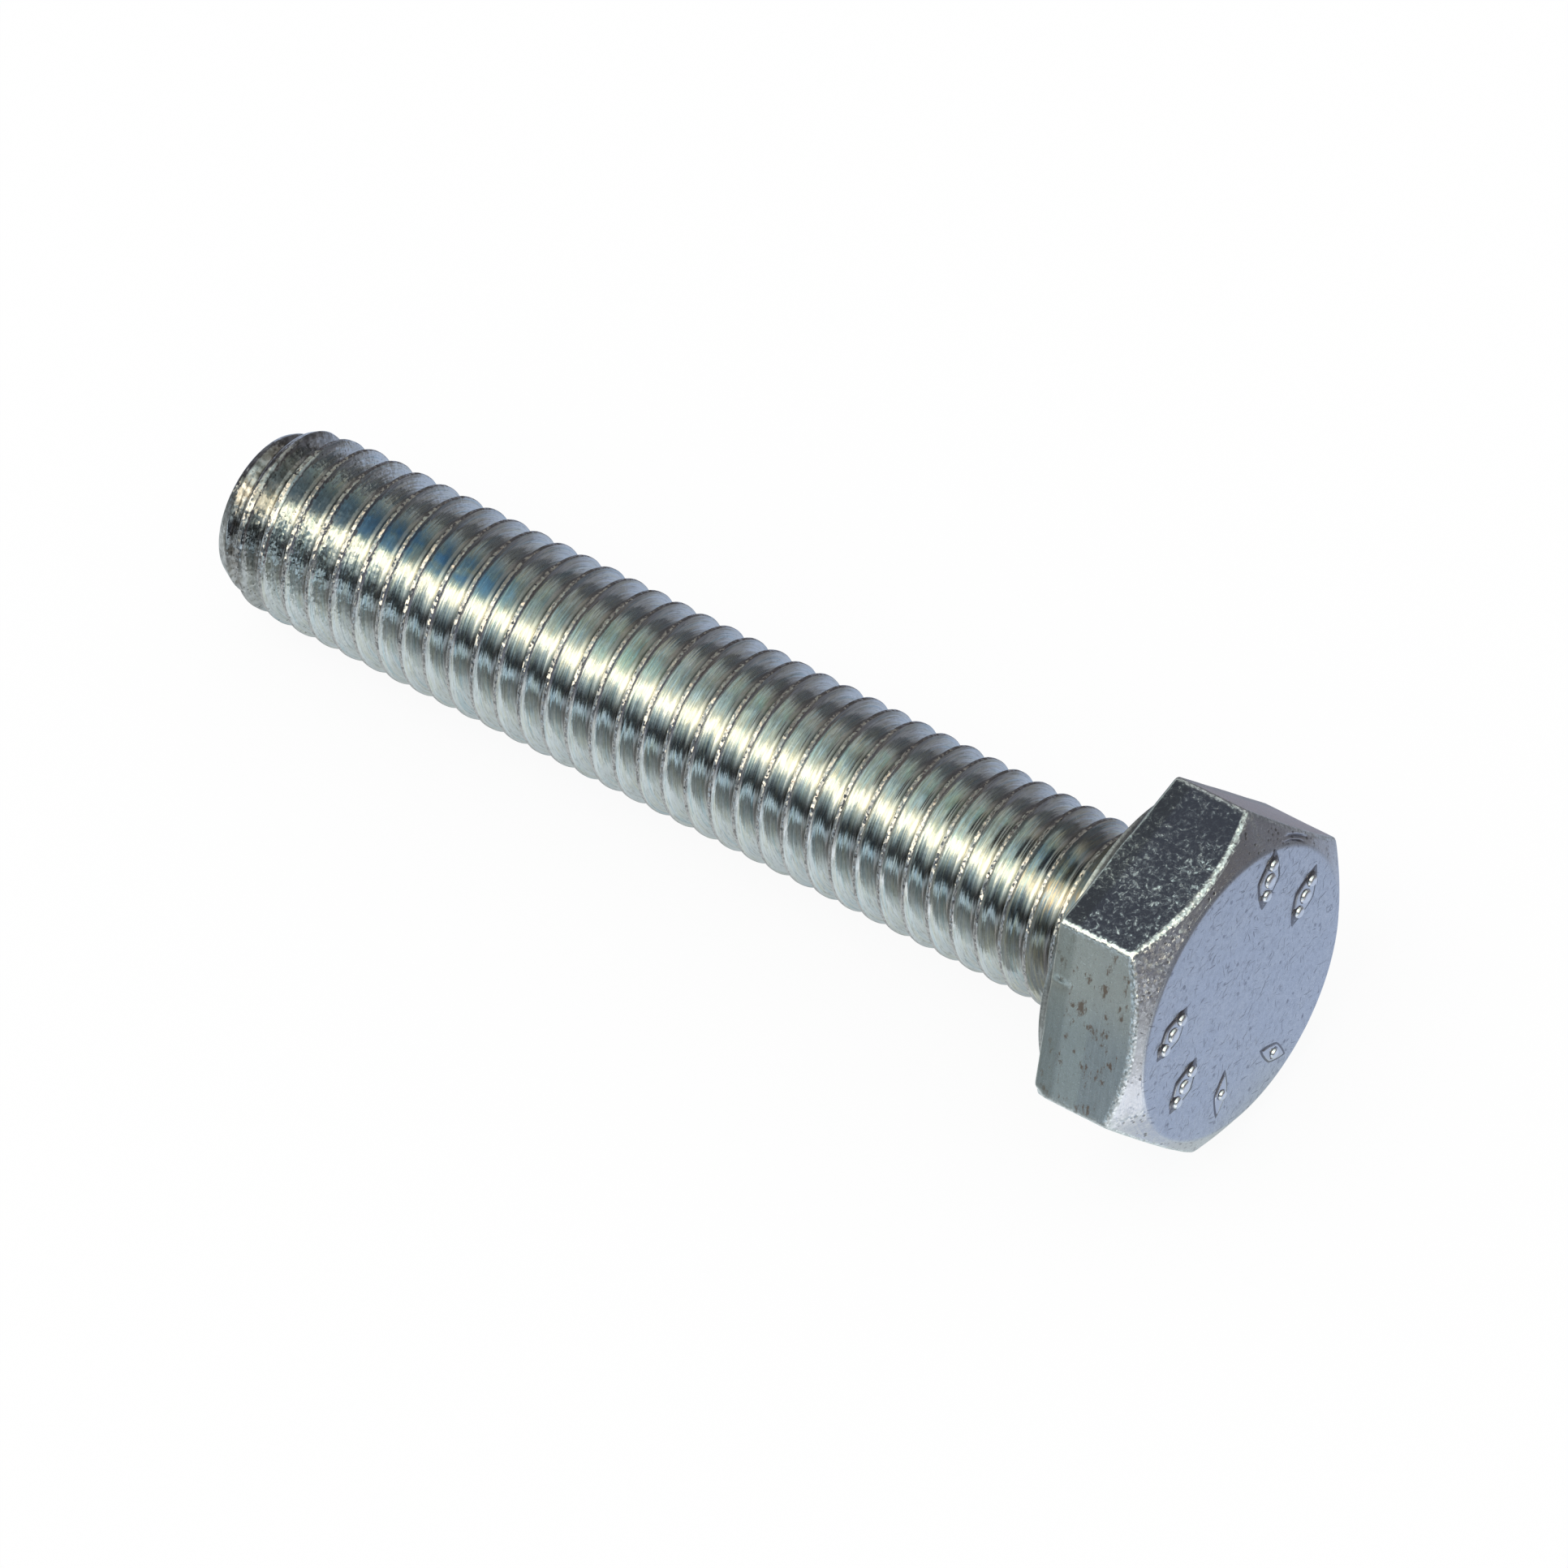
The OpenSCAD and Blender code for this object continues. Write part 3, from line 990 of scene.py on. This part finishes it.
def build_world():
    """Soft light tent that only reflections show, with a bright strip over the screw and a dark gap
    at the head's end. All other rays meet plain white."""
    world = bpy.data.worlds.new("light_tent")
    world.use_nodes = True
    world.cycles.sampling_method = "NONE"
    bpy.context.scene.world = world
    t = Tree(world.node_tree)
    x, y, z = t.parts(t.add("ShaderNodeTexCoord").outputs["Generated"])
    share = t.plus(t.math("DIVIDE", t.math("ARCTAN2", y, z), 2 * math.pi), 0.5)
    stops = [((place + 180) / 360, [c / TENT_PEAK for c in colour]) for place, colour in TENT]
    strip = t.fall(t.math("ABSOLUTE", t.minus(share, 0.5 + STRIP_AT / 360)), *STRIP_EDGE)
    gap = t.times(t.fall(x, -0.85, -0.45), t.fall(z, 0.35, 0.7))
    low_gap = t.times(t.fall(x, -0.97, -0.90, 0.8), t.step(z, -0.08, 0.05))
    tent = t.coats(
        t.mix(strip, t.ramp(share, stops), (1.15, 1.00, 0.72), "ADD"),
        (gap, (0.085, 0.078, 0.082)),
        (low_gap, (0.10, 0.11, 0.15)),
    )
    glossy = t.add("ShaderNodeBackground", {0: tent, 1: TENT_PEAK})
    plain = t.add("ShaderNodeBackground", {0: (1.0, 1.0, 1.0), 1: 0.95})
    path = t.add("ShaderNodeLightPath")
    mixed = t.add("ShaderNodeMixShader", {
        0: path.outputs["Is Glossy Ray"], 1: plain.outputs[0], 2: glossy.outputs[0]})
    t.add("ShaderNodeOutputWorld", {0: mixed.outputs[0]})


def floor_in_metal(t):
    """Colour of the floor in reflections, painted with light and shade: a white painted pool of light close
    to the screw, a brighter painted patch past the head, lavender painted shade on the side turned from the
    light and beyond the head's end, and duller further out."""
    place = t.vector("MULTIPLY", t.add("ShaderNodeTexCoord").outputs["Object"], (1000, 1000, 1000))
    x, y, _ = t.parts(place)
    past_end = t.minus(t.math("ABSOLUTE", t.minus(x, 24.0)), 30.0)
    away = t.most(t.most(past_end, 0.0), t.math("ABSOLUTE", y))
    share = t.math("POWER", t.math("DIVIDE", away, POOL_REACH), 0.5, clamp=True)
    pool = t.ramp(share, [((d / POOL_REACH) ** 0.5, (v, v, v)) for d, v in FLOOR_POOL])
    # Painted shade beyond the head's end
    before_head = t.times(t.fall(x, -9.0, -6.5), t.fall(y, 8.5, 12.0))
    shade = t.most(t.fall(y, -4.0, 1.0), before_head)
    # Painted bright patch past the head, on the +Y side
    corner = t.times(t.fall(x, -13.5, -11.0), t.step(x, -30.0, -18.0, 0.35, 1.0),
                     t.step(y, 9.0, 12.0))
    lit = t.mix(corner, t.mix(1.0, (0.90, 1.0, 1.04), pool, "MULTIPLY"), (1.14, 1.20, 1.28))
    dull = t.mix(t.step(away, 11.0, 26.0), (0.46, 0.54, 0.70), (0.24, 0.25, 0.28))
    dull = t.mix(t.step(away, 26.0, 60.0), dull, (0.15, 0.155, 0.18))
    return t.mix(shade, lit, dull)


def floor_paint(studio):
    """Pale floor that shows almost white and keeps a faint shadow."""
    material, t = new_material("pale_floor")
    material.cycles.emission_sampling = "NONE"
    path = t.add("ShaderNodeLightPath").outputs
    paper = t.noise(t.add("ShaderNodeTexCoord").outputs["Object"], 900.0, 3.0)
    colour = t.mix(t.step(paper, 0.3, 0.7, 0.0, 0.02), tuple(studio.floor), (0.90, 0.90, 0.89))
    matt = t.add("ShaderNodeBsdfDiffuse", {"Color": colour})
    white = t.add("ShaderNodeEmission", {"Color": (0.995, 0.995, 0.995)})
    seen = t.times(path["Is Camera Ray"], 1 - studio.shadow)
    first = t.add("ShaderNodeMixShader", {0: seen, 1: matt.outputs[0], 2: white.outputs[0]})
    mirrored = t.add("ShaderNodeEmission", {"Color": floor_in_metal(t)})
    shine = t.most(path["Is Glossy Ray"], path["Is Transmission Ray"])
    mixed = t.add("ShaderNodeMixShader", {0: shine, 1: first.outputs[0], 2: mirrored.outputs[0]})
    t.surface(mixed)
    return material


def build_floor(studio):
    """Floor under the screw's lowest point."""
    half = studio.floor_size / 2
    level = CAD_BOX[0][2]
    lines = np.linspace(-half, half, 9)
    count = len(lines)
    vertices = [(x, y, level) for y in lines for x in lines]
    corners = [j * count + i for j in range(count - 1) for i in range(count - 1)]
    faces = [[c, c + 1, c + count + 1, c + count] for c in corners]
    mesh = new_mesh("floor", vertices, faces, {})
    mesh.materials.append(floor_paint(studio))
    floor = add_object("floor", mesh)


def build_card():
    """Small dark card over the head, which only reflections show."""
    material, t = new_material("dark_card")
    material.cycles.emission_sampling = "NONE"
    t.surface(t.add("ShaderNodeEmission", {"Color": (0.084, 0.090, 0.106)}))
    toward = Vector(CARD_TOWARD).normalized()
    middle = Vector(CARD_FOOT) * MM + toward * CARD_DISTANCE * MM
    side = toward.cross(Vector((0, 1, 0))).normalized()
    across = side * CARD_HALF_SIZE[0] * MM
    along = side.cross(toward) * CARD_HALF_SIZE[1] * MM
    corners = [middle + across * a + along * b for a, b in ((-1, -1), (1, -1), (1, 1), (-1, 1))]
    mesh = new_mesh("dark_card", corners, [(0, 1, 2, 3)], {})
    mesh.materials.append(material)
    card = add_object("dark_card", mesh)
    card.visible_camera = card.visible_diffuse = card.visible_shadow = card.visible_transmission = False


def build_lamp():
    """Wide soft lamp above, for the floor's faint shadow."""
    lamp = bpy.data.lights.new("soft_lamp", "SUN")
    lamp.energy = 0.6
    lamp.angle = math.radians(35)
    holder = add_object("soft_lamp", lamp)
    holder.rotation_euler = (math.radians(-18), math.radians(12), 0)
    holder.visible_glossy = False


def build_camera(studio):
    """Camera at the photograph's angle, rolled as it was held."""
    camera = bpy.data.cameras.new("camera")
    camera.lens = studio.lens
    camera.sensor_width = 36
    camera.clip_start, camera.clip_end = 0.01, 20
    holder = add_object("camera", camera)
    a, e = studio.azimuth, studio.elevation
    back = Vector((math.sin(a) * math.cos(e), -math.cos(a) * math.cos(e), math.sin(e)))
    aim = Vector(CAMERA_AIM) * MM
    place = aim + back * CAMERA_DISTANCE * MM
    forward = (aim - place).normalized()
    right = forward.cross(Vector((0, 0, 1))).normalized()
    up = right.cross(forward)
    c, s = math.cos(studio.roll), math.sin(studio.roll)
    turn = Matrix((right * c - up * s, up * c + right * s, -forward)).transposed().to_4x4()
    holder.matrix_world = Matrix.Translation(place) @ turn
    bpy.context.scene.camera = holder


# Operators and panel

class SCREW_OT_build_shank(bpy.types.Operator):
    """Build the threaded shank"""
    bl_idname = "screw.build_shank"
    bl_label = "Threaded shank"

    def execute(self, context):
        sizes = context.scene.screw_sizes
        material = thread_plating(context.scene.screw_finish, sizes)
        add_piece("threaded_shank", thread_mesh(sizes), material)
        return {"FINISHED"}


class SCREW_OT_build_head(bpy.types.Operator):
    """Build the hexagon head with its washer face and fillet"""
    bl_idname = "screw.build_head"
    bl_label = "Hexagon head"

    def execute(self, context):
        mesh = head_mesh(context.scene.screw_sizes)
        add_piece("screw_head", mesh, head_plating(context.scene.screw_finish))
        return {"FINISHED"}


class SCREW_OT_build_marks(bpy.types.Operator):
    """Build the plain raised marks on top of the head"""
    bl_idname = "screw.build_marks"
    bl_label = "Raised marks"

    def execute(self, context):
        mesh = marks_mesh(context.scene.screw_sizes)
        add_piece("head_marks", mesh, marks_plating(context.scene.screw_finish))
        return {"FINISHED"}


class SCREW_OT_build_stage(bpy.types.Operator):
    """Build the floor, the light and the camera"""
    bl_idname = "screw.build_stage"
    bl_label = "Studio"

    def execute(self, context):
        studio = context.scene.screw_studio
        build_world()
        build_floor(studio)
        build_card()
        build_lamp()
        build_camera(studio)
        context.scene.view_settings.view_transform = "Standard"
        return {"FINISHED"}


class SCREW_PT_panel(bpy.types.Panel):
    """Lists the pieces, their sizes and their finish"""
    bl_idname = "SCREW_PT_panel"
    bl_label = "Hex head screw"
    bl_space_type = "VIEW_3D"
    bl_region_type = "UI"
    bl_category = "Screw"

    def draw(self, context):
        for operator in OPERATORS:
            self.layout.operator(operator.bl_idname)
        for name, kind in GROUPS.items():
            group = getattr(context.scene, name)
            box = self.layout.box()
            box.label(text=kind.__doc__)
            for value in kind.__annotations__:
                box.prop(group, value)


GROUPS = {"screw_sizes": ScrewSizes, "screw_finish": ScrewFinish, "screw_studio": ScrewStudio}
OPERATORS = (SCREW_OT_build_shank, SCREW_OT_build_head, SCREW_OT_build_marks, SCREW_OT_build_stage)
CLASSES = (*GROUPS.values(), *OPERATORS, SCREW_PT_panel)


def register():
    for item in CLASSES:
        bpy.utils.register_class(item)
    for name, kind in GROUPS.items():
        setattr(bpy.types.Scene, name, bpy.props.PointerProperty(type=kind))


def unregister():
    for name in GROUPS:
        delattr(bpy.types.Scene, name)
    for item in reversed(CLASSES):
        bpy.utils.unregister_class(item)


def main():
    register()
    bpy.ops.screw.build_shank()
    bpy.ops.screw.build_head()
    bpy.ops.screw.build_marks()
    bpy.ops.screw.build_stage()


if __name__ == "__main__":
    main()
